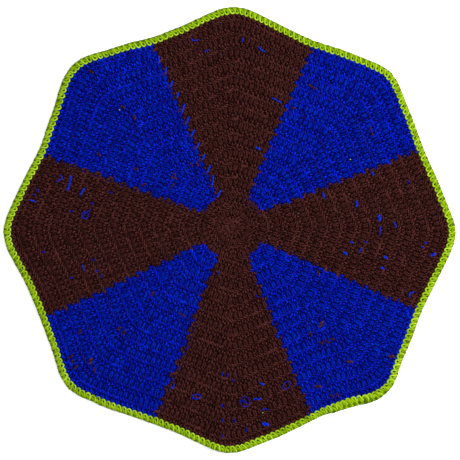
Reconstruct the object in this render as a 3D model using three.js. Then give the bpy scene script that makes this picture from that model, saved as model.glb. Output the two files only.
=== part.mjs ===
import * as THREE from 'three';

// Crochet placemat: an octagonal mat in one piece of tapestry crochet, with one round of
// single crochet worked round its rim as an edging.
// Millimetres, +Z up, lying on its back; the origin is under the middle of the outline.

// The mat
const ROUNDS = 30;
const FABRIC_THICKNESS = 4.4;
const TOP_GROOVE = 0.8;
const UNDERSIDE_GROOVE = 0.4;
const FLAT_ROUNDS = 2;
const POINTS_PER_ROUND_STEP = 0.4;
const RIM_ROUNDING = 0.5;

// The edging
const STITCHES_PER_SIDE = 31;
const EDGING_WIDTH = 5.6;
const EDGING_THICKNESS = 4.2;
const STITCH_DIP = 0.7;
const SEAT_GAP = 0.3;

// Where the rim stands on edge at the sharpest ripple, the edging shows wider from above.
const WIDE_BEARING = 304;
const WIDE_HALF_ANGLE = 9;
const WIDE_EXTRA = 1.6;

// The rim seen from above. Each side starts at a corner, given by its bearing from +X and its
// reach from the starting ring, and runs counter-clockwise to the next corner. The last three
// values say how far the rim stands outside the straight line between the two corners.
const SIDES = [
  { bearing: 358.5, reach: 200.8, third: 2.6, middle: 1.4, twoThirds: 2.3 },
  { bearing: 44.3, reach: 199.0, third: 1.7, middle: -0.5, twoThirds: 0.6 },
  { bearing: 89.5, reach: 198.1, third: -0.1, middle: -0.5, twoThirds: 2.1 },
  { bearing: 135.0, reach: 204.9, third: 0.1, middle: -1.4, twoThirds: 0.9 },
  { bearing: 181.3, reach: 206.4, third: -0.6, middle: -0.8, twoThirds: 0.2 },
  { bearing: 224.7, reach: 207.4, third: 2.3, middle: 1.3, twoThirds: 0.8 },
  { bearing: 269.3, reach: 203.5, third: 2.0, middle: -0.5, twoThirds: 0.1 },
  { bearing: 313.5, reach: 203.9, third: 0.7, middle: -0.6, twoThirds: 0.8 },
];
const CORNER_SHOULDER = 2.5;
const CORNER_HALF_SHOULDER = 2.1;
const SHOULDER_PART = 0.13;
const HALF_SHOULDER_PART = 0.06;
const EVEN_CORNER_REACH = 203;

// Places where the hand-worked rim swells out or draws in a little more than its side does.
const RIM_WAVES = [
  { bearing: 130, out: 1.2, halfAngle: 6 },
  { bearing: 146, out: -0.6, halfAngle: 6 },
  { bearing: 215, out: -0.7, halfAngle: 6 },
  { bearing: 235, out: 0.8, halfAngle: 6 },
  { bearing: 289, out: 0.6, halfAngle: 4 },
  { bearing: 296, out: -0.8, halfAngle: 4 },
  { bearing: 309, out: 0.9, halfAngle: 5 },
  { bearing: 321, out: -1.5, halfAngle: 8 },
];

// Soft ripples where the rim has more stitches than it needs to lie flat. Each has a crest line
// from inside the mat out to the rim, measured from the starting ring, and fades inwards.
const RIPPLES = [
  { inner: [-83, 100], outer: [-124, 145], height: 3.0, halfWidth: 17 },
  { inner: [-34, 132], outer: [-51, 168], height: 2.0, halfWidth: 15 },
  { inner: [-9, -138], outer: [-16, -192], height: 2.4, halfWidth: 16 },
  { inner: [61, -122], outer: [72, -170], height: 3.6, halfWidth: 12 },
  { inner: [-104, -46], outer: [-142, -58], height: 1.0, halfWidth: 20 },
  { inner: [116, 40], outer: [156, 52], height: 1.0, halfWidth: 20 },
];

// A smooth curve through the stations, each a pair of place and value.
function smoothThrough(stations, place) {
  const last = stations.length - 1;
  const slope = (i) => {
    const [before, valueBefore] = stations[Math.max(i - 1, 0)];
    const [after, valueAfter] = stations[Math.min(i + 1, last)];
    return (valueAfter - valueBefore) / (after - before);
  };
  let right = 1;
  while (right < last && place > stations[right][0]) right += 1;
  const [start, startValue] = stations[right - 1];
  const [end, endValue] = stations[right];
  const span = end - start;
  const s = (place - start) / span;
  return startValue * (1 + 2 * s) * (1 - s) ** 2
    + endValue * s ** 2 * (3 - 2 * s)
    + slope(right - 1) * span * s * (1 - s) ** 2
    + slope(right) * span * s ** 2 * (s - 1);
}

function atBearing(degrees, reach) {
  const angle = THREE.MathUtils.degToRad(degrees);
  return new THREE.Vector2(Math.cos(angle), Math.sin(angle)).multiplyScalar(reach);
}

// A point on the straight line between two corners, moved out by the bulge.
function alongSide(from, to, part, bulge) {
  const along = to.clone().sub(from);
  const outward = new THREE.Vector2(along.y, -along.x).normalize();
  return from.clone().addScaledVector(along, part).addScaledVector(outward, bulge);
}

function inset(point, distance) {
  return point.clone().setLength(point.length() - distance);
}

// A soft swell, 1 at its middle bearing and fading to 0 on both sides.
function swell(point, bearing, halfAngle) {
  const away = Math.abs(THREE.MathUtils.radToDeg(point.angle()) - bearing);
  return Math.cos(Math.min(away / halfAngle, 1) * Math.PI / 2) ** 2;
}

// The outer edge of the edging, at a part from 0 to 1 of one side.
function rimPoint(side, part) {
  const row = SIDES[side];
  const next = SIDES[(side + 1) % SIDES.length];
  const bulge = smoothThrough([
    [0, 0], [HALF_SHOULDER_PART, CORNER_HALF_SHOULDER], [SHOULDER_PART, CORNER_SHOULDER],
    [1 / 3, row.third], [1 / 2, row.middle], [2 / 3, row.twoThirds],
    [1 - SHOULDER_PART, CORNER_SHOULDER], [1 - HALF_SHOULDER_PART, CORNER_HALF_SHOULDER], [1, 0],
  ], part);
  const point = alongSide(
    atBearing(row.bearing, row.reach), atBearing(next.bearing, next.reach), part, bulge);
  const out = RIM_WAVES.reduce(
    (sum, wave) => sum + wave.out * swell(point, wave.bearing, wave.halfAngle), 0);
  return inset(point, -out);
}

function edgingWidth(point) {
  return EDGING_WIDTH + WIDE_EXTRA * swell(point, WIDE_BEARING, WIDE_HALF_ANGLE);
}

// A point of one round of the mat. The middle is an even octagon, and the outer rounds take on
// more and more of the rim's own shape.
function roundPoint(round, side, part) {
  const share = round / ROUNDS;
  const turn = 360 / SIDES.length;
  const even = alongSide(
    atBearing(side * turn, EVEN_CORNER_REACH), atBearing((side + 1) * turn, EVEN_CORNER_REACH),
    part, CORNER_SHOULDER * Math.sin(Math.PI * part));
  const rim = rimPoint(side, part);
  const edge = even.lerp(rim, share ** 2);
  return inset(edge, edgingWidth(edge) + SEAT_GAP).multiplyScalar(share);
}

// How far the cloth is lifted off the table at a point.
function lift(point) {
  let height = 0;
  for (const ripple of RIPPLES) {
    const inner = new THREE.Vector2(...ripple.inner);
    const crest = new THREE.Vector2(...ripple.outer).sub(inner);
    const offset = point.clone().sub(inner);
    const along = offset.dot(crest) / crest.lengthSq();
    const across = Math.abs(offset.cross(crest)) / crest.length() / ripple.halfWidth;
    if (across < 1) {
      const rise = THREE.MathUtils.smoothstep(along, 0, 1);
      height += ripple.height * rise * Math.cos(across * Math.PI / 2) ** 2;
    }
  }
  return height;
}

function solid(positions, triangles) {
  const geometry = new THREE.BufferGeometry();
  geometry.setAttribute('position', new THREE.Float32BufferAttribute(positions, 3));
  geometry.setIndex(triangles);
  geometry.computeVertexNormals();
  return geometry;
}

// The mat's points lie round by round, with more on each side as the rounds grow, and every
// second round stands proud as a rib on both faces.
function matGeometry() {
  const positions = [];
  const triangles = [];
  const pointsPerSide = (round) => Math.ceil(round * POINTS_PER_ROUND_STEP);

  const addFace = (heightOfRound) => {
    const rings = [[positions.length / 3]];
    positions.push(0, 0, heightOfRound(0));
    for (let round = 1; round <= ROUNDS; round += 1) {
      const count = pointsPerSide(round);
      const ring = [];
      for (let i = 0; i < count * SIDES.length; i += 1) {
        const point = roundPoint(round, Math.floor(i / count), (i % count) / count);
        ring.push(positions.length / 3);
        positions.push(point.x, point.y, heightOfRound(round) + lift(point));
      }
      rings.push(ring);
    }
    return rings;
  };

  // Fills the band between a round and the next one out, side by side.
  const fillBand = (ring, next, facesUp) => {
    const inner = ring.length === 1 ? 0 : ring.length / SIDES.length;
    const outer = next.length / SIDES.length;
    const add = (a, b, c) => triangles.push(...(facesUp ? [a, b, c] : [a, c, b]));
    for (let side = 0; side < SIDES.length; side += 1) {
      const innerAt = (i) => ring[(side * inner + i) % ring.length];
      const outerAt = (j) => next[(side * outer + j) % next.length];
      let i = 0;
      let j = 0;
      while (i < inner || j < outer) {
        if (i === inner || (j < outer && (j + 0.5) / outer <= (i + 0.5) / inner)) {
          add(innerAt(i), outerAt(j), outerAt(j + 1));
          j += 1;
        } else {
          add(innerAt(i), outerAt(j), innerAt(i + 1));
          i += 1;
        }
      }
    }
  };

  const isGroove = (round) => round > FLAT_ROUNDS && round % 2 === 1;
  const rounding = (round) => (round === ROUNDS ? RIM_ROUNDING : 0);
  const top = addFace((round) => FABRIC_THICKNESS
    - (isGroove(round) ? TOP_GROOVE : 0) - rounding(round));
  const underside = addFace((round) => (isGroove(round) ? UNDERSIDE_GROOVE : 0)
    + rounding(round));
  for (let round = 0; round < ROUNDS; round += 1) {
    fillBand(top[round], top[round + 1], true);
    fillBand(underside[round], underside[round + 1], false);
  }

  const upper = top[ROUNDS];
  const lower = underside[ROUNDS];
  for (let i = 0; i < upper.length; i += 1) {
    const j = (i + 1) % upper.length;
    triangles.push(lower[i], lower[j], upper[j], lower[i], upper[j], upper[i]);
  }
  return solid(positions, triangles);
}

// The edging is one rope of stitches: a section stands at the middle of each stitch and a
// slimmer one between each two. A section is given from the outer edge inwards, in parts of the
// width, and from the table up, in parts of the thickness.
const EDGING_SECTION = [
  { inwards: 1.00, up: 0.00 },
  { inwards: 0.20, up: 0.00 },
  { inwards: 0.00, up: 0.42 },
  { inwards: 0.16, up: 0.84 },
  { inwards: 0.56, up: 1.00 },
  { inwards: 1.00, up: 0.86 },
];

function edgingGeometry() {
  const positions = [];
  const triangles = [];
  const sectionsPerSide = STITCHES_PER_SIDE * 2;
  const sections = sectionsPerSide * SIDES.length;
  const size = EDGING_SECTION.length;
  for (let section = 0; section < sections; section += 1) {
    const rim = rimPoint(
      Math.floor(section / sectionsPerSide), (section % sectionsPerSide) / sectionsPerSide);
    const width = edgingWidth(rim);
    const dip = section % 2 === 0 ? STITCH_DIP : 0;
    for (const { inwards, up } of EDGING_SECTION) {
      const point = inset(rim, inwards * width + (1 - inwards) * dip);
      const height = up * (EDGING_THICKNESS - dip) + lift(point);
      positions.push(point.x, point.y, height);
    }
  }
  for (let section = 0; section < sections; section += 1) {
    const next = (section + 1) % sections;
    for (let i = 0; i < size; i += 1) {
      const j = (i + 1) % size;
      const here = section * size;
      const there = next * size;
      triangles.push(here + i, there + j, here + j, here + i, there + i, there + j);
    }
  }
  return solid(positions, triangles);
}

function yarn(color) {
  return new THREE.MeshStandardMaterial({ color, roughness: 0.95, metalness: 0 });
}

const mat = new THREE.Mesh(matGeometry(), yarn('#351918'));
mat.name = 'mat';

const edging = new THREE.Mesh(edgingGeometry(), yarn('#83a51d'));
edging.name = 'edging';

const placemat = new THREE.Group();
placemat.add(mat, edging);

// The starting ring isn't quite in the middle of the outline, so the whole mat moves over.
const outline = new THREE.Box3().setFromObject(placemat);
const middle = outline.getCenter(new THREE.Vector3());
placemat.position.set(-middle.x, -middle.y, -outline.min.z);

export default placemat;
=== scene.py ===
import math

import bmesh
import bpy
import numpy as np
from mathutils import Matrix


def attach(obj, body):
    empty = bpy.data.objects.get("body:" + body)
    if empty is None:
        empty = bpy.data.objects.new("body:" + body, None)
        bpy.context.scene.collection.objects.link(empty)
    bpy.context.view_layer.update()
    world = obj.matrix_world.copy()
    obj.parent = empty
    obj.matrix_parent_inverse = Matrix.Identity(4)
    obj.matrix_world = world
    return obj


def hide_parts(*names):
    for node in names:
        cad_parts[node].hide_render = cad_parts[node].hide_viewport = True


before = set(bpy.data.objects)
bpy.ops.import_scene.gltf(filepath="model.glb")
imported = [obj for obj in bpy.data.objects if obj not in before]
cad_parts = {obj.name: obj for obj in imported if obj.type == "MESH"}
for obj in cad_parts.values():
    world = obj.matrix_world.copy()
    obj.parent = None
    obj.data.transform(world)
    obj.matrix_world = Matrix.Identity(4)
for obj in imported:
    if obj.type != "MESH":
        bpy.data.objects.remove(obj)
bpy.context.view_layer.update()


# Camera
# It looks straight down on the mat from high above with a long lens, as the photograph does,
# so that a pixel is 0.9 mm anywhere on the mat.

PHOTO_PIXELS = 460
MM_PER_PIXEL = 0.9
CAMERA_HEIGHT = 3.0
SENSOR_WIDTH = 36.0
PHOTO_MIDDLE = (0.0003, -0.0001)

camera = bpy.data.objects.new("camera", bpy.data.cameras.new("camera"))
camera.data.sensor_width = SENSOR_WIDTH
camera.data.lens = SENSOR_WIDTH * CAMERA_HEIGHT / (PHOTO_PIXELS * MM_PER_PIXEL / 1000)
camera.data.clip_end = 2 * CAMERA_HEIGHT
camera.location = (*PHOTO_MIDDLE, CAMERA_HEIGHT)
bpy.context.collection.objects.link(camera)
bpy.context.scene.camera = camera
bpy.context.scene.view_settings.view_transform = "Standard"


# Floor and light
# A plain white floor, and the soft light of a studio: a bright room, and one broad lamp high
# on the right and a little behind the mat, which models the stitches and the ripples.

FLOOR_SIZE = 12.0
FLOOR_COLOUR = (0.93, 0.93, 0.94, 1)
FLOOR_GLOW = 0.3
ROOM_LIGHT = 0.95
LAMP_SIZE = 0.9
LAMP_POWER = 38.0
LAMP_PLACE = (1.25, 0.45, 1.35)

floor_mesh = bpy.data.meshes.new("floor")
floor_bm = bmesh.new()
bmesh.ops.create_grid(floor_bm, x_segments=1, y_segments=1, size=FLOOR_SIZE / 2)
floor_bm.to_mesh(floor_mesh)
floor_bm.free()
floor = bpy.data.objects.new("floor", floor_mesh)
bpy.context.collection.objects.link(floor)

floor_paint = bpy.data.materials.new("floor_paint")
floor_paint.use_nodes = True
floor_shader = floor_paint.node_tree.nodes["Principled BSDF"]
floor_shader.inputs["Base Color"].default_value = FLOOR_COLOUR
floor_shader.inputs["Roughness"].default_value = 0.9
floor_shader.inputs["Specular IOR Level"].default_value = 0.1
floor_shader.inputs["Emission Color"].default_value = FLOOR_COLOUR
floor_shader.inputs["Emission Strength"].default_value = FLOOR_GLOW
floor_mesh.materials.append(floor_paint)

room = bpy.data.worlds.new("room")
room.use_nodes = True
room.node_tree.nodes["Background"].inputs["Color"].default_value = (1, 1, 1, 1)
room.node_tree.nodes["Background"].inputs["Strength"].default_value = ROOM_LIGHT
bpy.context.scene.world = room

lamp = bpy.data.objects.new("lamp", bpy.data.lights.new("lamp", "AREA"))
lamp.data.shape = "DISK"
lamp.data.size = LAMP_SIZE
lamp.data.energy = LAMP_POWER
lamp.location = LAMP_PLACE
lamp.rotation_euler = lamp.location.to_track_quat("Z", "Y").to_euler()
bpy.context.collection.objects.link(lamp)


# The mat's inner layer
# The yarn that runs inside the crochet, under the stitches that show, with the second colour
# carried along in it. It gives the sheet its outline, its ribs and its soft ripples, and the
# stitches of the sections below are worked through it. Its dark tint is painted shade: the
# shade that falls deep in the gaps between the stitches.

ROUNDS = 30
ROUND_HEIGHT = 6.04
RIM_INSET = 4.7
WIDE_EDGING = {"bearing": 305, "half_angle": 13, "extra": 2.8}

# The rim from above, as eight corners and how far each side stands outside a straight line a
# third, half and two thirds of the way to the next corner. Millimetres from the starting ring.
# Near its corners every side swells to a rounded shoulder.
SIDES = (
    {"bearing": 358.5, "reach": 200.8, "bulges": (2.6, 1.4, 2.3)},
    {"bearing": 44.3, "reach": 199.0, "bulges": (1.7, -0.5, 0.6)},
    {"bearing": 89.5, "reach": 198.1, "bulges": (-0.1, -0.5, 2.1)},
    {"bearing": 135.0, "reach": 204.9, "bulges": (0.1, -1.4, 0.9)},
    {"bearing": 181.3, "reach": 206.4, "bulges": (-0.6, -0.8, 0.2)},
    {"bearing": 224.7, "reach": 207.4, "bulges": (2.3, 1.3, 0.8)},
    {"bearing": 269.3, "reach": 203.5, "bulges": (2.0, -0.5, 0.1)},
    {"bearing": 313.5, "reach": 203.9, "bulges": (0.7, -0.6, 0.8)},
)
SHOULDER = 2.5
HALF_SHOULDER = 2.1
EVEN_REACH = 203.0
STATIONS = np.array((0, 0.06, 0.13, 1 / 3, 1 / 2, 2 / 3, 0.87, 0.94, 1))

# Places where the rim swells out or draws in a little more than its side does.
RIM_WAVES = (
    {"bearing": 130, "out": 1.2, "half_angle": 6},
    {"bearing": 146, "out": -0.6, "half_angle": 6},
    {"bearing": 215, "out": -0.7, "half_angle": 6},
    {"bearing": 235, "out": 0.8, "half_angle": 6},
    {"bearing": 289, "out": 0.6, "half_angle": 4},
    {"bearing": 296, "out": -0.8, "half_angle": 4},
    {"bearing": 309, "out": 0.9, "half_angle": 5},
    {"bearing": 321, "out": -1.5, "half_angle": 8},
)

# Soft ripples near the rim, each with a crest line from inside the mat outwards.
RIPPLES = (
    {"inner": (-83, 100), "outer": (-124, 145), "height": 3.0, "half_width": 17},
    {"inner": (-34, 132), "outer": (-51, 168), "height": 2.0, "half_width": 15},
    {"inner": (-9, -138), "outer": (-16, -192), "height": 2.4, "half_width": 16},
    {"inner": (58, -122), "outer": (70, -170), "height": 3.9, "half_width": 7.5},
    {"inner": (-104, -46), "outer": (-142, -58), "height": 1.0, "half_width": 20},
    {"inner": (116, 40), "outer": (156, 52), "height": 1.0, "half_width": 20},
)

# The starting ring lies a little off the middle of the outline.
START_RING = np.array((2.80, 2.67))

corners = np.array([
    (math.cos(math.radians(row["bearing"])) * row["reach"],
     math.sin(math.radians(row["bearing"])) * row["reach"])
    for row in SIDES
])
even_corners = np.array([
    (math.cos(math.radians(45 * i)) * EVEN_REACH, math.sin(math.radians(45 * i)) * EVEN_REACH)
    for i in range(len(SIDES))
])
bulge_values = np.array([
    (0, HALF_SHOULDER, SHOULDER, *row["bulges"], SHOULDER, HALF_SHOULDER, 0) for row in SIDES
])


def smooth_bulge(side, part):
    """How far the rim stands outside the straight line, by a smooth curve through the stations."""
    padded_places = np.concatenate((STATIONS[:1], STATIONS, STATIONS[-1:]))
    padded_values = np.pad(bulge_values, ((0, 0), (1, 1)), mode="edge")
    slopes = (padded_values[:, 2:] - padded_values[:, :-2]) / (
        padded_places[2:] - padded_places[:-2])
    right = np.clip(np.searchsorted(STATIONS, part), 1, len(STATIONS) - 1)
    span = STATIONS[right] - STATIONS[right - 1]
    s = (part - STATIONS[right - 1]) / span
    return (
        bulge_values[side, right - 1] * (1 + 2 * s) * (1 - s) ** 2
        + bulge_values[side, right] * s ** 2 * (3 - 2 * s)
        + slopes[side, right - 1] * span * s * (1 - s) ** 2
        + slopes[side, right] * span * s ** 2 * (s - 1)
    )


def along_side(points, side, part, bulge):
    """A point between two corners, moved outwards by the bulge."""
    start = points[side]
    along = points[(side + 1) % len(SIDES)] - start
    outward = np.stack((along[..., 1], -along[..., 0]), axis=-1)
    outward /= np.linalg.norm(outward, axis=-1, keepdims=True)
    return start + along * part[..., None] + outward * bulge[..., None]


def inset(points, distance):
    """Moves points straight towards the starting ring."""
    reach = np.linalg.norm(points, axis=-1, keepdims=True)
    return points * (1 - distance[..., None] / reach)


def bearing_of(points):
    return np.degrees(np.arctan2(points[..., 1], points[..., 0])) % 360


def swell(points, row):
    """1 at the row's bearing, fading softly to 0 on both sides."""
    away = np.minimum(np.abs(bearing_of(points) - row["bearing"]) / row["half_angle"], 1)
    return np.cos(away * math.pi / 2) ** 2


def extra_width(points):
    return WIDE_EDGING["extra"] * swell(points, WIDE_EDGING)


def rim_point(around):
    """The rim of the finished mat; around counts sides from the east corner."""
    side = np.floor(around).astype(int) % len(SIDES)
    part = around - np.floor(around)
    points = along_side(corners, side, part, smooth_bulge(side, part))
    return inset(points, -sum(row["out"] * swell(points, row) for row in RIM_WAVES))


def mat_point(rounds, around):
    """A point of the mat after so many rounds; the outer rounds take on the rim's shape."""
    side = np.floor(around).astype(int) % len(SIDES)
    part = around - np.floor(around)
    share = rounds / ROUNDS
    even = along_side(even_corners, side, part, SHOULDER * np.sin(math.pi * part))
    blend = np.minimum(share, 1)[..., None] ** 2
    edge = even * (1 - blend) + rim_point(around) * blend
    return inset(edge, RIM_INSET + extra_width(edge)) * share[..., None]


def lift(points):
    """How far the ripples lift the cloth off the table."""
    height = np.zeros(points.shape[:-1])
    for ripple in RIPPLES:
        inner = np.array(ripple["inner"])
        crest = np.array(ripple["outer"]) - inner
        offset = points - inner
        along = np.clip(offset @ crest / (crest @ crest), 0, 1)
        across = np.abs(offset[..., 0] * crest[1] - offset[..., 1] * crest[0])
        across = np.minimum(across / np.linalg.norm(crest) / ripple["half_width"], 1)
        rise = along ** 2 * (3 - 2 * along)
        height += ripple["height"] * rise * np.cos(across * math.pi / 2) ** 2
    return height


# The four blue wedges, by the bearings of their two edges, and the round each starts in.
WEDGES = (
    {"name": "northeast", "from": 21.5, "to": 67.2, "first_round": 4.3},
    {"name": "northwest", "from": 113.3, "to": 159.7, "first_round": 4.6},
    {"name": "southwest", "from": 204.7, "to": 248.5, "first_round": 4.6},
    {"name": "southeast", "from": 291.5, "to": 336.8, "first_round": 4.5},
)


def is_blue(points, rounds):
    bearing = bearing_of(points)
    blue = np.zeros(points.shape[:-1], dtype=bool)
    for wedge in WEDGES:
        inside = (bearing > wedge["from"]) & (bearing < wedge["to"])
        blue |= inside & (rounds > wedge["first_round"])
    return blue


TWO_PLIES_A_TURN = 4 * math.pi / 20
FIBRE_TUFTS_PER_METRE = 480
PLY_SHADE_CONTRAST = 0.25
FIBRE_CONTRAST = 0.3


def yarn_material(name, shade, colour, light, sheen):
    """Plied, slightly hairy yarn, with painted shade between its plies and a tint that varies by
    strand.
    """
    material = bpy.data.materials.new(name)
    material.use_nodes = True
    nodes = material.node_tree.nodes
    links = material.node_tree.links
    shader = nodes["Principled BSDF"]
    shader.inputs["Roughness"].default_value = 0.9
    shader.inputs["Specular IOR Level"].default_value = 0.015
    shader.inputs["Sheen Weight"].default_value = 0.02
    shader.inputs["Sheen Roughness"].default_value = 0.5
    shader.inputs["Sheen Tint"].default_value = (*sheen, 1)

    strand = nodes.new("ShaderNodeUVMap")
    strand.uv_map = "strand"
    plies = nodes.new("ShaderNodeTexWave")
    plies.wave_type = "BANDS"
    plies.bands_direction = "X"
    plies.inputs["Scale"].default_value = TWO_PLIES_A_TURN
    plies.inputs["Phase Offset"].default_value = math.pi
    plies.inputs["Distortion"].default_value = 1.6
    plies.inputs["Detail"].default_value = 2
    links.new(strand.outputs["UV"], plies.inputs["Vector"])
    place = nodes.new("ShaderNodeTexCoord")
    fibres = nodes.new("ShaderNodeTexNoise")
    fibres.inputs["Scale"].default_value = FIBRE_TUFTS_PER_METRE
    fibres.inputs["Detail"].default_value = 3
    links.new(place.outputs["Object"], fibres.inputs["Vector"])
    tint = nodes.new("ShaderNodeAttribute")
    tint.attribute_name = "tint"

    # The ply bands paint shade into the grooves between the plies, leaving their crests lighter.
    with_plies = nodes.new("ShaderNodeMath")
    with_plies.operation = "MULTIPLY_ADD"
    with_plies.inputs[1].default_value = PLY_SHADE_CONTRAST
    links.new(plies.outputs["Fac"], with_plies.inputs[0])
    links.new(tint.outputs["Fac"], with_plies.inputs[2])
    with_fibres = nodes.new("ShaderNodeMath")
    with_fibres.operation = "MULTIPLY_ADD"
    with_fibres.inputs[1].default_value = FIBRE_CONTRAST
    links.new(fibres.outputs["Fac"], with_fibres.inputs[0])
    links.new(with_plies.outputs["Value"], with_fibres.inputs[2])
    # The ramp runs from painted shade, through the yarn's own colour, to painted highlight.
    ramp = nodes.new("ShaderNodeValToRGB")
    ramp.color_ramp.elements[0].position = 0.35
    ramp.color_ramp.elements[0].color = (*shade, 1)
    ramp.color_ramp.elements[1].position = 1.0
    ramp.color_ramp.elements[1].color = (*light, 1)
    ramp.color_ramp.elements.new(0.58).color = (*colour, 1)
    links.new(with_fibres.outputs["Value"], ramp.inputs["Fac"])
    links.new(ramp.outputs["Color"], shader.inputs["Base Color"])

    bump = nodes.new("ShaderNodeBump")
    bump.inputs["Strength"].default_value = 0.5
    bump.inputs["Distance"].default_value = 0.0004
    links.new(with_fibres.outputs["Value"], bump.inputs["Height"])
    links.new(bump.outputs["Normal"], shader.inputs["Normal"])
    return material


# Each yarn's colours: a painted shade colour, its own colour and a painted highlight colour, then
# the tint of its sheen.
brown_yarn = yarn_material(
    "brown_yarn", (0.0095, 0.0024, 0.0019), (0.069, 0.0184, 0.0168), (0.067, 0.0194, 0.0182),
    (0.35, 0.18, 0.15))
blue_yarn = yarn_material(
    "blue_yarn", (0.0018, 0.0022, 0.068), (0.0013, 0.0118, 0.480), (0.0003, 0.082, 0.475),
    (0.05, 0.15, 0.9))

INNER_TOP = 2.2
INNER_UNDERSIDE = 1.6
RIB_SWELL = 0.15
RIB_LEAN = 0.15
EDGE_DROP = 0.2
UNDER_EDGING = 2.2
STEPS_A_SIDE = 20
STEPS_A_ROUND = 2
SPIN_TOLERANCE = 0.001
# A low tint puts the inner layer at the dark end of the yarn's colours: painted shade in the gaps
# between the stitches.
INNER_SHADE_TINT = 0.05


def inner_layer():
    """A closed sheet, spun from its section, with a low swell under every second round."""
    bm = bmesh.new()
    radii = np.arange(ROUNDS * STEPS_A_ROUND + 1) / STEPS_A_ROUND
    section = [bm.verts.new((radius, 0, 1)) for radius in radii]
    section += [bm.verts.new((radius, 0, -1)) for radius in radii[::-1]]
    edges = [bm.edges.new(ends) for ends in zip(section, section[1:])]
    bmesh.ops.spin(
        bm, geom=section + edges, cent=(0, 0, 0), axis=(0, 0, 1), angle=2 * math.pi,
        steps=STEPS_A_SIDE * len(SIDES), use_merge=True)
    bmesh.ops.remove_doubles(bm, verts=bm.verts, dist=SPIN_TOLERANCE)
    bmesh.ops.recalc_face_normals(bm, faces=bm.faces)

    spun = np.array([vert.co for vert in bm.verts])
    rounds = np.linalg.norm(spun[:, :2], axis=1)
    around = bearing_of(spun) / 360 * len(SIDES)
    face = spun[:, 2]
    at_rim = rounds > ROUNDS - SPIN_TOLERANCE
    under_edging = inset(rim_point(around), np.full(around.shape, UNDER_EDGING))
    points = np.where(at_rim[:, None], under_edging, mat_point(rounds, around))
    phase = np.where(face > 0, rounds, rounds + 1) - RIB_LEAN
    swelling = np.select(
        (at_rim, rounds < SPIN_TOLERANCE), (-EDGE_DROP, 0.0), RIB_SWELL * np.cos(phase * math.pi))
    base = np.where(face > 0, INNER_TOP, INNER_UNDERSIDE)
    heights = base + face * swelling + lift(points)
    for vert, place in zip(bm.verts, np.column_stack((points + START_RING, heights)) / 1000):
        vert.co = place
    return bm


inner_bm = inner_layer()
inner_mesh = bpy.data.meshes.new("mat_inner_layer")
centres = np.array([face.calc_center_median() for face in inner_bm.faces])[:, :2] * 1000
centres -= START_RING
round_of_face = np.linalg.norm(centres, axis=1) / ROUND_HEIGHT
blue_faces = is_blue(centres, round_of_face)
for face, blue in zip(inner_bm.faces, blue_faces):
    face.material_index = int(blue)
    face.smooth = True
inner_bm.to_mesh(inner_mesh)
inner_bm.free()
inner_mesh.materials.append(brown_yarn)
inner_mesh.materials.append(blue_yarn)
inner_mesh.attributes.new("tint", "FLOAT", "POINT")
inner_mesh.attributes["tint"].data.foreach_set(
    "value", np.full(len(inner_mesh.vertices), INNER_SHADE_TINT))
inner_mesh.uv_layers.new(name="strand")
mat_inner = bpy.data.objects.new("mat_inner_layer", inner_mesh)
bpy.context.collection.objects.link(mat_inner)
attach(mat_inner, "root")
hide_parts("mat")


# The mat's stitches
# Single crochet in brown and blue yarn, in turned rounds, eight stitches more each round. One
# round shows as pairs of upright legs and the next as a low ridge with left-leaning strands
# above it. The underside shows the same, one round further out.

random = np.random.default_rng(7)
STITCH_PITCH = 5.0
FABRIC_THICKNESS = 4.4
YARN_RADIUS = 1.12
PLY_WIDE = 1.12
PLY_NARROW = 0.82
TWIST_PER_MM = math.radians(82)
VARIANTS = 4
PATH_PLACES = 41
PATH_UNEVENNESS = 0.06
TWIST_UNEVENNESS = math.radians(25)
PLY_UP = math.radians(90)
GROOVE_UP = 0.0


def strand_shape(sides, rings):
    """A closed straight tube of unit radius from 0 to 1 along X, with rings across it."""
    bm = bmesh.new()
    bmesh.ops.create_cone(
        bm, cap_ends=True, cap_tris=False, segments=sides, radius1=1, radius2=1, depth=1)
    for ring in range(1, rings):
        bmesh.ops.bisect_plane(
            bm, geom=bm.verts[:] + bm.edges[:] + bm.faces[:], dist=1e-6,
            plane_co=(0, 0, ring / rings - 0.5), plane_no=(0, 0, 1))
    for vert in bm.verts:
        x, y, z = vert.co
        vert.co = (z + 0.5, x, y)
    bmesh.ops.recalc_face_normals(bm, faces=bm.faces)
    bm.verts.ensure_lookup_table()
    verts = np.array([vert.co for vert in bm.verts])
    faces = [[vert.index for vert in face.verts] for face in bm.faces]
    bm.free()
    return verts, faces


def smooth_path(path, places):
    """A smooth curve through evenly spaced points, at places from 0 to 1."""
    knots = np.linspace(0, 1, len(path))
    slopes = np.gradient(path, knots, axis=0)
    right = np.clip(np.searchsorted(knots, places), 1, len(knots) - 1)
    span = knots[right] - knots[right - 1]
    s = ((places - knots[right - 1]) / span)[:, None]
    span = span[:, None]
    return (
        path[right - 1] * (1 + 2 * s) * (1 - s) ** 2
        + path[right] * s ** 2 * (3 - 2 * s)
        + slopes[right - 1] * span * s * (1 - s) ** 2
        + slopes[right] * span * s ** 2 * (s - 1)
    )


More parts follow.
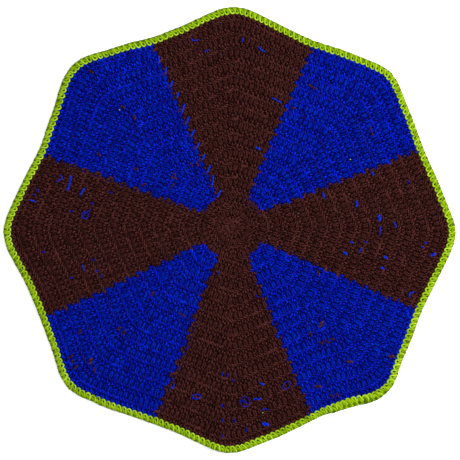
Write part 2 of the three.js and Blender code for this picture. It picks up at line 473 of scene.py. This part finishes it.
def bend_strand(shape, path, radius, middle_twist=0.0, twist_per_mm=TWIST_PER_MM):
    """Bends a straight tube along a path and twists its oval section, as two plies twist."""
    verts, faces = shape
    fine = np.linspace(0, 1, PATH_PLACES)
    smooth = smooth_path(np.array(path, dtype=float), fine)
    direction = np.gradient(smooth, axis=0)
    direction /= np.linalg.norm(direction, axis=1, keepdims=True)
    beside = np.stack((-direction[:, 1], direction[:, 0], np.zeros(len(fine))), axis=1)
    beside /= np.linalg.norm(beside, axis=1, keepdims=True)
    above = np.cross(direction, beside)

    def at(values):
        return np.stack([np.interp(verts[:, 0], fine, values[:, a]) for a in range(3)], axis=1)

    length = np.linalg.norm(np.diff(smooth, axis=0), axis=1).sum()
    along = verts[:, 0] * length
    twist = middle_twist + (along - length / 2) * twist_per_mm
    wide = verts[:, 1] * PLY_WIDE * radius
    narrow = verts[:, 2] * PLY_NARROW * radius
    sideways = wide * np.cos(twist) - narrow * np.sin(twist)
    upwards = wide * np.sin(twist) + narrow * np.cos(twist)
    bent = at(smooth) + sideways[:, None] * at(beside) + upwards[:, None] * at(above)
    turn = np.arctan2(verts[:, 2], verts[:, 1]) / (2 * math.pi)
    return {"verts": bent, "faces": faces, "along": along, "turn": turn}


def strand_variants(shape, path, radius, middle_twist, twist_per_mm=TWIST_PER_MM):
    """A few versions of one strand, each with its own small bends and twist."""
    path = np.array(path, dtype=float)
    return [
        bend_strand(shape, path + random.normal(0, PATH_UNEVENNESS, path.shape), radius,
                    middle_twist + random.normal(0, TWIST_UNEVENNESS), twist_per_mm)
        for _ in range(VARIANTS)
    ]


def places_of_round(round_middle, count, shift):
    """Middles of a round's stitches, and the direction right along the round at each."""
    around = (np.arange(count * len(SIDES)) + 0.5 + shift) / count
    rounds = np.full(around.shape, round_middle)
    half_stitch = 0.5 / count
    middles = mat_point(rounds, around)
    rightwards = mat_point(rounds, around - half_stitch) - mat_point(rounds, around + half_stitch)
    rightwards /= np.linalg.norm(rightwards, axis=1, keepdims=True)
    return middles, rightwards


TURN_JITTER = 0.03
SIZE_JITTER = 0.04
PLACE_JITTER = 0.07
HEIGHT_JITTER = 0.04


def lay_stitches(strand, middles, rightwards, looseness, underside=False, stretch=1.0):
    """Copies a strand to every stitch of a round, each a little uneven."""
    count = len(middles)
    turn = random.normal(0, TURN_JITTER * looseness, count)
    right = np.stack((
        rightwards[:, 0] * np.cos(turn) - rightwards[:, 1] * np.sin(turn),
        rightwards[:, 0] * np.sin(turn) + rightwards[:, 1] * np.cos(turn)), axis=1)
    out = np.stack((-right[:, 1], right[:, 0]), axis=1)
    size = 1 + random.normal(0, SIZE_JITTER * looseness, (count, 2))
    size[:, 1] *= stretch
    moved = middles + random.normal(0, PLACE_JITTER * looseness, (count, 2))
    verts = strand["verts"]
    plan = (
        moved[:, None, :]
        + right[:, None, :] * (verts[None, :, 0] * size[:, None, 0])[..., None]
        + out[:, None, :] * (verts[None, :, 1] * size[:, None, 1])[..., None]
    )
    height = np.broadcast_to(verts[None, :, 2], plan.shape[:2])
    height = height + random.normal(0, HEIGHT_JITTER * looseness, count)[:, None]
    if underside:
        height = FABRIC_THICKNESS - height
    height = np.maximum(height, 0) + lift(plan)
    return np.concatenate((plan, height[..., None]), axis=2)


class Skein:
    """Gathers copies of strands and makes one mesh of them."""

    def __init__(self):
        self.verts = []
        self.loops = []
        self.sizes = []
        self.tints = []
        self.uvs = []
        self.total = 0

    def add(self, strand, copies, tints, flipped=False):
        count, per_copy = copies.shape[:2]
        faces = [face[::-1] for face in strand["faces"]] if flipped else strand["faces"]
        flat = np.array([vert for face in faces for vert in face])
        starts = self.total + np.arange(count) * per_copy
        self.verts.append(copies.reshape(-1, 3))
        self.loops.append((starts[:, None] + flat[None, :]).ravel())
        self.sizes.append(np.tile([len(face) for face in faces], count))
        self.tints.append(np.repeat(tints, per_copy))
        uv = []
        for face in faces:
            turns = strand["turn"][face]
            if len(face) == 4 and turns.max() - turns.min() > 0.5:
                turns = np.where(turns < 0, turns + 1, turns)
            uv.append(np.stack((turns, strand["along"][face]), axis=1))
        uv = np.tile(np.concatenate(uv), (count, 1))
        uv[:, 1] += np.repeat(random.uniform(0, 100, count), len(flat))
        self.uvs.append(uv)
        self.total += count * per_copy

    def make(self, name, material):
        mesh = bpy.data.meshes.new(name)
        verts = np.concatenate(self.verts)
        verts[:, :2] += START_RING
        loops = np.concatenate(self.loops)
        sizes = np.concatenate(self.sizes)
        mesh.vertices.add(len(verts))
        mesh.vertices.foreach_set("co", (verts / 1000).ravel())
        mesh.loops.add(len(loops))
        mesh.loops.foreach_set("vertex_index", loops)
        mesh.polygons.add(len(sizes))
        mesh.polygons.foreach_set("loop_start", np.concatenate(([0], np.cumsum(sizes)[:-1])))
        mesh.polygons.foreach_set("use_smooth", np.ones(len(sizes), dtype=bool))
        mesh.update(calc_edges=True)
        mesh.attributes.new("tint", "FLOAT", "POINT")
        mesh.attributes["tint"].data.foreach_set("value", np.concatenate(self.tints))
        mesh.uv_layers.new(name="strand")
        mesh.uv_layers["strand"].data.foreach_set("uv", np.concatenate(self.uvs).ravel())
        mesh.materials.append(material)
        mesh.validate()
        piece = bpy.data.objects.new(name, mesh)
        bpy.context.collection.objects.link(piece)
        return piece


# Strand paths as right, outwards and up from the middle of a stitch, in millimetres. The ends
# dive into the inner layer. A left-leaning strand shows as two short humps on the upper face.
LEFT_LEG = ((-0.5, -2.9, 2.4), (-0.65, -1.6, 3.1), (-0.8, -0.1, 3.3), (-0.95, 1.4, 3.1),
            (-1.1, 2.7, 2.4))
RIGHT_LEG = ((0.5, -2.8, 2.4), (0.65, -1.5, 3.1), (0.8, 0.0, 3.3), (0.95, 1.5, 3.1),
             (1.1, 2.8, 2.4))
RIDGE = ((-2.5, -0.7, 2.3), (-1.25, -0.4, 2.9), (0.0, 0.0, 3.05), (1.25, 0.4, 2.9), (2.5, 0.7, 2.3))
FALLING_NEAR = ((1.7, -1.75, 1.6), (1.45, -1.2, 2.75), (1.1, -0.5, 3.0), (0.75, 0.2, 3.0),
                (0.4, 0.85, 2.0))
FALLING_FAR = ((-0.55, -0.6, 1.8), (-0.95, 0.1, 3.1), (-1.3, 0.85, 3.45), (-1.6, 1.5, 3.2),
               (-1.85, 2.1, 2.0))
LEANS_LEFT = (*FALLING_NEAR[:3], (-0.1, 0.2, 3.1), *FALLING_FAR[2:])

# How far out in a pair of rounds each kind of strand lies, and how far round, in stitches.
LEG_ROUND = 0.18
RIDGE_ROUND = 0.84
LEFT_ROUND = 1.40
INNERMOST_ROUND = 0.1
RIDGE_SHIFT = 0.5 / STITCH_PITCH
LEFT_SHIFT = -0.95 / STITCH_PITCH

leg_shape = strand_shape(5, 5)
hump_shape = strand_shape(5, 4)
ridge_shape = strand_shape(5, 8)
underside_shape = strand_shape(4, 3)
LEG_RADIUS = 1.2
RIDGE_RADIUS = 1.6
# The tints by kind of strand are painted light and shade on the one yarn: the legs lightest, the
# ridge darkest, the left-leaning strands between.
LEG_TINT = 0.28
RIDGE_TINT = 0.15
LEFT_TINT = 0.22
top = {
    name: strand_variants(shape, path, radius, PLY_UP)
    for name, shape, path, radius in (
        ("left_leg", leg_shape, LEFT_LEG, LEG_RADIUS),
        ("right_leg", leg_shape, RIGHT_LEG, LEG_RADIUS),
        ("ridge", ridge_shape, RIDGE, RIDGE_RADIUS),
        ("falling_near", hump_shape, FALLING_NEAR, YARN_RADIUS),
        ("falling_far", hump_shape, FALLING_FAR, YARN_RADIUS))
}
below = {
    name: strand_variants(underside_shape, path, YARN_RADIUS, middle_twist)
    for name, path, middle_twist in (
        ("left_leg", LEFT_LEG, PLY_UP), ("right_leg", RIGHT_LEG, PLY_UP),
        ("ridge", RIDGE, GROOVE_UP), ("leans_left", LEANS_LEFT, GROOVE_UP))
}

WEDGE_NAMES = (
    "brown_east", "blue_northeast", "brown_north", "blue_northwest",
    "brown_west", "blue_southwest", "brown_south", "blue_southeast")
skeins = {name: Skein() for name in WEDGE_NAMES}
TINT_SPREAD = 0.045
LIGHTEST_TINT = 0.9


def wedge_of(points, reach, rounds):
    """The index in WEDGE_NAMES of each strand, which is blue where both its ends are."""
    bearing = bearing_of(points)
    nearest_blue = (bearing // 90).astype(int) * 2 + 1
    nearest_brown = (((bearing + 45) // 90).astype(int) % 4) * 2
    blue = is_blue(points - reach, rounds) & is_blue(points + reach, rounds)
    return np.where(blue, nearest_blue, nearest_brown)


def strand_tints(count, middle):
    return np.clip(random.normal(middle, TINT_SPREAD, count), 0, LIGHTEST_TINT)


def work_round(variants, round_middle, count, shift, tint, underside=False):
    """Lays one strand of every stitch of a round, in the yarn of the wedge it lies in."""
    middles, rightwards = places_of_round(round_middle, count, shift)
    half_length = np.abs(variants[0]["verts"][:, 0]).max()
    wedges = wedge_of(middles, rightwards * half_length, np.full(len(middles), round_middle))
    tints = strand_tints(len(middles), tint)
    choice = random.integers(0, VARIANTS, len(middles))
    for number, strand in enumerate(variants):
        copies = lay_stitches(strand, middles, rightwards, 1.0, underside)
        for index, name in enumerate(WEDGE_NAMES):
            mine = (wedges == index) & (choice == number)
            if mine.any():
                skeins[name].add(strand, copies[mine], tints[mine], underside)


for first in range(0, ROUNDS, 2):
    for name in ("left_leg", "right_leg"):
        work_round(top[name], first + LEG_ROUND, first + 1, 0, LEG_TINT)
        work_round(below[name], first + 1 + LEG_ROUND, first + 2, 0, LEG_TINT, True)
    work_round(top["ridge"], first + RIDGE_ROUND, first + 2, RIDGE_SHIFT, RIDGE_TINT)
    for name in ("falling_near", "falling_far"):
        work_round(top[name], first + LEFT_ROUND, first + 2, LEFT_SHIFT, LEFT_TINT)
    work_round(below["ridge"], max(first + RIDGE_ROUND - 1, INNERMOST_ROUND), first + 1,
               RIDGE_SHIFT, RIDGE_TINT, True)
    work_round(below["leans_left"], first + LEFT_ROUND - 1, first + 1,
               LEFT_SHIFT, LEFT_TINT, True)

# The posts of the last round, which show as points between the teeth of the edging.
EDGING_STITCHES = 31
POST_LOOSENESS = 0.6
POST = ((0.0, -8.6, 1.8), (0.1, -7.4, 3.0), (0.1, -6.1, 3.2), (0.0, -4.9, 2.7), (0.0, -4.0, 1.8))
post_around = np.arange(EDGING_STITCHES * len(SIDES)) / EDGING_STITCHES
half_stitch = 0.5 / EDGING_STITCHES


def rim_directions(around):
    rightwards = rim_point(around - half_stitch) - rim_point(around + half_stitch)
    return rightwards / np.linalg.norm(rightwards, axis=1, keepdims=True)


post_middles = rim_point(post_around)
post_wedges = wedge_of(post_middles, 0, np.full(len(post_middles), ROUNDS))
post_strand = bend_strand(leg_shape, POST, YARN_RADIUS)
post_copies = lay_stitches(
    post_strand, post_middles, rim_directions(post_around), POST_LOOSENESS)
post_tints = strand_tints(len(post_middles), LEG_TINT)
for index, name in enumerate(WEDGE_NAMES):
    mine = post_wedges == index
    skeins[name].add(post_strand, post_copies[mine], post_tints[mine])

for name, skein in skeins.items():
    colour = name.split("_")[0]
    piece = skein.make(f"{name}_stitches", brown_yarn if colour == "brown" else blue_yarn)
    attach(piece, "root")
    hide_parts("mat")


# The edging
# One round of single crochet in lime green, worked into the mat's last round. Each stitch goes
# down into the mat as a rounded tooth, and its top lies over the outer edge as a fat slanted
# loop, with a small dark gap between the two.

# The lime yarn's colours: a painted shade colour, its own colour and a painted highlight colour,
# then the tint of its sheen.
lime_yarn = yarn_material(
    "lime_yarn", (0.05, 0.09, 0.0005), (0.205, 0.345, 0.002), (0.46, 0.68, 0.05),
    (0.7, 0.9, 0.3))

LOOP_DEPTH = 3.4
# The yarn's radius and tint, and its path right along the rim, inwards from the outer edge,
# and up. The tints are painted light and shade on the one lime yarn: the tooth lightest, the
# outer edge darkest.
EDGING_STRANDS = (
    {"strand": "tooth", "radius": 1.0, "tint": 0.36, "widens": False, "path": (
        (-3.3, 1.1, 3.2), (-2.9, 2.1, 4.1), (-2.2, 3.6, 4.1), (-1.4, 5.2, 3.9), (-0.1, 6.0, 3.8),
        (1.0, 5.5, 3.8), (1.6, 4.4, 3.5), (1.8, 3.1, 2.4))},
    {"strand": "fat loop", "radius": 1.9, "tint": 0.17, "widens": True, "path": (
        (-1.6, 1.6, 1.2), (-0.9, 2.2, 2.2), (0.2, 2.5, 2.8), (1.3, 2.5, 2.9), (2.3, 2.7, 2.2))},
    {"strand": "outer edge", "radius": 1.35, "tint": 0.08, "widens": True, "path": (
        (-3.0, 1.4, 1.5), (-1.5, 1.25, 1.8), (0.2, 1.2, 1.9), (1.8, 1.25, 1.8), (3.0, 1.4, 1.5))},
    {"strand": "leg below", "radius": 1.0, "tint": 0.2, "widens": False, "path": (
        (-1.2, 1.8, 1.1), (-0.9, 3.2, 1.05), (-0.4, 4.4, 1.05), (0.0, 5.3, 1.2),
        (0.2, 5.9, 1.9))},
    {"strand": "loop below", "radius": 1.0, "tint": 0.2, "widens": True, "path": (
        (-2.9, 2.6, 1.3), (-1.6, 2.4, 1.1), (0.0, 2.3, 1.1), (1.6, 2.4, 1.2),
        (2.9, 2.6, 1.4))},
)
EDGING_LOOSENESS = 0.6
EDGING_TWIST_PER_MM = math.radians(25)
edging_shape = strand_shape(6, 7)
edging_skein = Skein()
edging_around = (np.arange(EDGING_STITCHES * len(SIDES)) + 0.5) / EDGING_STITCHES
edging_middles = rim_point(edging_around)
edging_right = rim_directions(edging_around)
edging_extra = extra_width(edging_middles)
for row in EDGING_STRANDS:
    path = [(right, -inward, up) for right, inward, up in row["path"]]
    choice = random.integers(0, VARIANTS, len(edging_middles))
    tints = strand_tints(len(edging_middles), row["tint"])
    for number, strand in enumerate(strand_variants(
            edging_shape, path, row["radius"], PLY_UP, EDGING_TWIST_PER_MM)):
        if row["widens"]:
            middles, stretch = edging_middles, 1 + edging_extra / LOOP_DEPTH
        else:
            middles, stretch = inset(edging_middles, edging_extra), 1.0
        copies = lay_stitches(strand, middles, edging_right, EDGING_LOOSENESS, stretch=stretch)
        mine = choice == number
        edging_skein.add(strand, copies[mine], tints[mine])
edging = edging_skein.make("lime_edging_stitches", lime_yarn)
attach(edging, "root")
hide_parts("edging")

# The flecks
# The yarn that isn't in use is carried inside the stitches, and here and there it shows: blue
# strokes on brown, brown ones on blue, most of them at the edges of the wedges. A few fine
# blue threads have worked loose, and a little pale lint has caught on the yarn.

STROKE = {"width": 1.75, "top": 4.9, "dive": 1.7, "end": 0.3, "tint": 0.34}
BROWN_STROKE = {"width": 2.1, "top": 5.0, "dive": 1.2, "end": 0.3, "tint": 0.22}
SPECK = {"width": 1.25, "top": 4.7, "dive": 1.2, "end": 0.3, "tint": 0.18, "half_length": 0.8}
BROWN_SPECK = {"width": 1.9, "top": 4.95, "dive": 1.2, "end": 0.3, "tint": 0.16,
               "half_length": 1.3}
THREAD = {"width": 0.65, "top": 5.1, "dive": 1.4, "end": 0.5, "tint": 0.26}
LINT = {"width": 0.65, "top": 5.1, "dive": 0.3, "end": 0.1, "tint": 0.50, "half_length": 0.2}
SPECK_TURN = math.radians(20)
RING_IN_PHOTO = (232.3, 226.3)

# The points that each stroke and thread runs through, in photo pixels across and down, with a
# width in millimetres where it isn't the usual one. Specks are listed by wedge.
BLUE_STROKES = (
    {"points": ((158.6, 56.4), (158.6, 62.0))},
    {"points": ((165.7, 67.8), (165.0, 73.4))},
    {"points": ((171.8, 81.6), (170.1, 86.0))},
    {"points": ((177.7, 92.8), (176.9, 96.2))},
    {"points": ((183.9, 104.6), (181.6, 111.2))},
    {"points": ((188.5, 117.2), (185.6, 123.8))},
    {"points": ((193.6, 130.0), (190.8, 135.8))},
    {"points": ((198.7, 142.8), (196.4, 147.2)), "width": 1.4},
    {"points": ((203.8, 154.8), (202.5, 158.6))},
    {"points": ((209.5, 166.0), (206.6, 172.0))},
    {"points": ((212.9, 175.8), (211.7, 184.6)), "width": 1.5},
    {"points": ((219.8, 190.6), (216.9, 196.2))},
    {"points": ((191.3, 38.4), (193.4, 40.4), (197.4, 39.4)), "width": 0.8},
    {"points": ((242.3, 38.2), (241.7, 41.2)), "width": 0.8},
    {"points": ((258.7, 46.9), (261.0, 49.6), (263.3, 51.0)), "width": 1.2},
    {"points": ((271.8, 97.7), (276.0, 99.6), (280.3, 102.2)), "width": 0.95},
    {"points": ((204.2, 50.9), (207.4, 49.8)), "width": 0.7},
    {"points": ((256.0, 147.1), (259.0, 148.7)), "width": 1.8},
    {"points": ((59.7, 174.5), (62.2, 177.8), (56.3, 180.6)), "width": 0.85},
    {"points": ((70.9, 176.0), (69.6, 182.0), (67.3, 189.2)), "width": 2.0},
    {"points": ((83.7, 188.4), (80.1, 193.8)), "width": 1.5},
    {"points": ((29.8, 199.5), (35.0, 201.0)), "width": 1.2},
    {"points": ((82.1, 264.8), (84.0, 269.4)), "width": 0.85},
    {"points": ((356.0, 201.4), (356.2, 205.0)), "width": 2.3},
    {"points": ((378.5, 215.2), (378.9, 219.2)), "width": 2.9},
    {"points": ((379.7, 226.5), (379.1, 233.7)), "width": 0.8},
    {"points": ((393.5, 222.3), (395.5, 226.1)), "width": 0.9},
    {"points": ((349.8, 241.2), (352.2, 242.2)), "width": 1.1},
    {"points": ((360.8, 247.6), (358.6, 251.4)), "width": 1.0},
    {"points": ((343.2, 251.6), (346.0, 253.6)), "width": 1.7},
    {"points": ((384.0, 256.2), (386.2, 257.5)), "width": 2.0},
    {"points": ((431.0, 254.8), (434.2, 253.0)), "width": 2.1},
    {"points": ((380.8, 266.8), (382.6, 268.0)), "width": 1.9},
    {"points": ((408.7, 295.9), (408.9, 292.6), (412.7, 291.3)), "width": 1.1},
    {"points": ((371.4, 171.9), (372.7, 174.5)), "width": 1.5},
    {"points": ((322.7, 192.9), (323.3, 196.9)), "width": 1.5},
    {"points": ((260.0, 382.4), (263.0, 383.9)), "width": 1.5},
    {"points": ((170.8, 386.0), (172.8, 387.4), (173.4, 383.6)), "width": 1.1},
    {"points": ((253.2, 399.0), (255.4, 397.4), (258.0, 398.8), (260.4, 397.4)), "width": 1.1},
    {"points": ((262.6, 422.8), (267.0, 423.8)), "width": 3.0},
)
BLUE_SPECKS = {
    "west": (
        (37.2, 189.8), (34.2, 194.4), (110.2, 191.8), (91.8, 202.9), (71.8, 210.7),
        (42.9, 251.5), (93.1, 259.2), (96.4, 270.4), (100.5, 275.5), (70.9, 277.2)),
    "east": ((407.7, 181.6), (364.8, 241.3), (425.0, 242.3), (421.9, 246.7)),
    "south": (
        (221.7, 373.4), (227.1, 374.3), (232.7, 379.7), (173.0, 379.7), (244.1, 400.9),
        (221.7, 404.9), (222.1, 419.9), (234.4, 419.9), (245.9, 429.1), (221.7, 434.8),
        (177.6, 367.1), (187.3, 347.0), (183.3, 353.3), (218.1, 272.0), (256.5, 295.5)),
}
BLUE_THREADS = (
    {"points": ((82.0, 217.0), (81.4, 213.6), (84.0, 211.2), (87.4, 212.6), (87.8, 216.2),
                (85.0, 218.2), (82.6, 216.4), (85.2, 212.6), (89.8, 209.2))},
    {"points": ((282.0, 387.7), (283.0, 383.2), (286.6, 380.6), (289.5, 381.8), (288.4, 386.0),
                (284.6, 388.4))},
    {"points": ((239.4, 401.6), (241.4, 397.0), (246.6, 396.4), (249.2, 400.6), (246.8, 405.4),
                (242.0, 405.2), (240.2, 401.0), (243.6, 399.0), (246.4, 402.0)), "width": 0.8},
    {"points": ((192.5, 397.8), (192.3, 395.2), (194.6, 393.6), (198.0, 393.8), (200.0, 395.4),
                (198.0, 397.6), (194.4, 398.4), (193.0, 396.0)), "width": 0.9},
    {"points": ((261.0, 409.4), (264.2, 407.6), (267.6, 408.8))},
)
BROWN_STROKES = (
    {"points": ((195.9, 161.8), (197.9, 164.8)), "width": 1.4},
    {"points": ((190.4, 162.8), (192.0, 165.4)), "width": 1.2},
    {"points": ((173.4, 172.6), (174.8, 175.2)), "width": 1.1},
    {"points": ((171.4, 176.6), (175.6, 177.8)), "width": 1.6},
    {"points": ((173.4, 183.4), (171.4, 185.8)), "width": 1.2},
    {"points": ((308.4, 84.5), (315.3, 88.3)), "width": 1.3},
    {"points": ((292.4, 107.0), (294.6, 107.6)), "width": 1.3},
    {"points": ((369.4, 126.5), (372.4, 134.7)), "width": 0.8},
    {"points": ((90.8, 358.6), (89.8, 362.0)), "width": 3.0},
    {"points": ((177.9, 312.2), (184.8, 315.6)), "width": 0.8},
    {"points": ((321.3, 321.8), (319.5, 325.2)), "width": 3.0},
    {"points": ((347.4, 360.7), (351.6, 361.1)), "width": 2.3},
    {"points": ((389.0, 355.3), (392.6, 355.9)), "width": 2.8},
    {"points": ((315.2, 385.3), (320.2, 385.7)), "width": 2.3},
)
BROWN_SPECKS = {
    "northwest": (
        (91.3, 71.4), (122.4, 106.6), (133.9, 116.8), (98.5, 154.0), (143.4, 184.0),
        (135.7, 168.4)),
    "southwest": (
        (118.9, 327.6), (124.0, 331.6), (70.4, 355.6), (71.9, 361.2), (75.5, 366.3),
        (94.4, 369.4), (79.6, 331.0), (152.2, 293.0)),
    "southeast": (
        (310.2, 333.2), (320.4, 341.8), (326.5, 340.8), (331.4, 338.3), (331.4, 394.9),
        (336.9, 394.4), (307.7, 405.1), (317.9, 272.4)),
}
LINT_SPECKS = {
    "northwest": ((119.2, 109.4),),
    "northeast": ((349.7, 159.0),),
    "south": ((262.3, 411.8),),
}


def place_on_mat(points):
    """Photo pixels as millimetres right and away from the starting ring."""
    across, down = np.array(points, dtype=float).T
    right = (across - RING_IN_PHOTO[0]) * MM_PER_PIXEL
    away = (RING_IN_PHOTO[1] - down) * MM_PER_PIXEL
    return np.stack((right, away), axis=1)


def lay_yarn(skein, plan, kind, width):
    """Lays yarn along points on the surface, with both its ends diving in."""
    start = plan[0] - plan[1]
    finish = plan[-1] - plan[-2]
    start *= kind["end"] / np.linalg.norm(start)
    finish *= kind["end"] / np.linalg.norm(finish)
    plan = np.concatenate(([plan[0] + start], plan, [plan[-1] + finish]))
    height = kind["top"] - width / 2 + lift(plan)
    height[[0, -1]] -= kind["dive"]
    strand = bend_strand(
        strand_shape(6, 3 * len(plan)), np.column_stack((plan, height)), width / 2)
    skein.add(strand, strand["verts"][None], np.array([kind["tint"]]))


def lay_strokes(skein, rows, kind):
    for row in rows:
        lay_yarn(skein, place_on_mat(row["points"]), kind, row.get("width", kind["width"]))


def lay_specks(skein, places_by_wedge, kind):
    """Short bits of yarn that lie roughly outwards, as they show between two legs."""
    for places in places_by_wedge.values():
        for place in place_on_mat(places):
            turn = math.atan2(place[1], place[0]) + random.normal(0, SPECK_TURN)
            half = kind["half_length"] * np.array((math.cos(turn), math.sin(turn)))
            lay_yarn(skein, np.array((place - half, place + half)), kind, kind["width"])


blue_flecks = Skein()
lay_strokes(blue_flecks, BLUE_STROKES, STROKE)
lay_specks(blue_flecks, BLUE_SPECKS, SPECK)
lay_strokes(blue_flecks, BLUE_THREADS, THREAD)
brown_flecks = Skein()
lay_strokes(brown_flecks, BROWN_STROKES, BROWN_STROKE)
lay_specks(brown_flecks, BROWN_SPECKS, BROWN_SPECK)
lint = Skein()
lay_specks(lint, LINT_SPECKS, LINT)
for name, skein, material, slot in (
        ("blue_flecks", blue_flecks, blue_yarn, "blue_yarn"),
        ("brown_flecks", brown_flecks, brown_yarn, "brown_yarn"),
        ("lint", lint, lime_yarn, "lime_yarn")):
    piece = skein.make(name, material)
    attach(piece, "root")
    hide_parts("mat")
